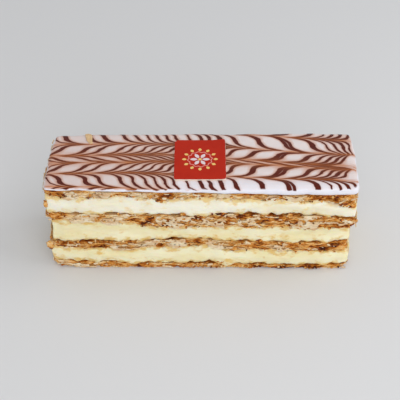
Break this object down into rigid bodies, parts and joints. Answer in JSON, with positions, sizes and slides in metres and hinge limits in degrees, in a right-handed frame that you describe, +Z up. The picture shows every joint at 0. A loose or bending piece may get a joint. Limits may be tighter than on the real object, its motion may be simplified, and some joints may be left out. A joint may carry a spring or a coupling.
{
  "type": "mille feuille slice",
  "caption": "Cut slice of mille feuille: puff pastry sheets and pastry cream, combed fondant icing, and a thin square chocolate plaque on top.",
  "frame": {"origin": "middle of the underside, where the slice rests", "axes": "+X along the slice, +Y towards the back knife cut, +Z up through the layers"},
  "size_m": [0.1328, 0.0398, 0.0461],
  "materials": {
    "pastry": "baked puff pastry: crisp, flaky, golden with browned leaf edges, matt to satin",
    "pastry_cream": "pastry cream: soft, moist, pale yellow, satin",
    "light_cream": "whipped pastry cream: paler, moist, satin",
    "fondant": "set fondant icing, white, feathered with dark chocolate lines, soft gloss",
    "plaque": null
  },
  "bodies": {
    "root": {"pastry_base": "pastry", "cream_bottom": "pastry_cream", "pastry_lower": "pastry", "cream_middle": "pastry_cream", "pastry_upper": "pastry", "cream_top": "light_cream", "pastry_top": "pastry", "fondant_icing": "fondant", "plaque": "plaque"}
  },
  "joints": []
}
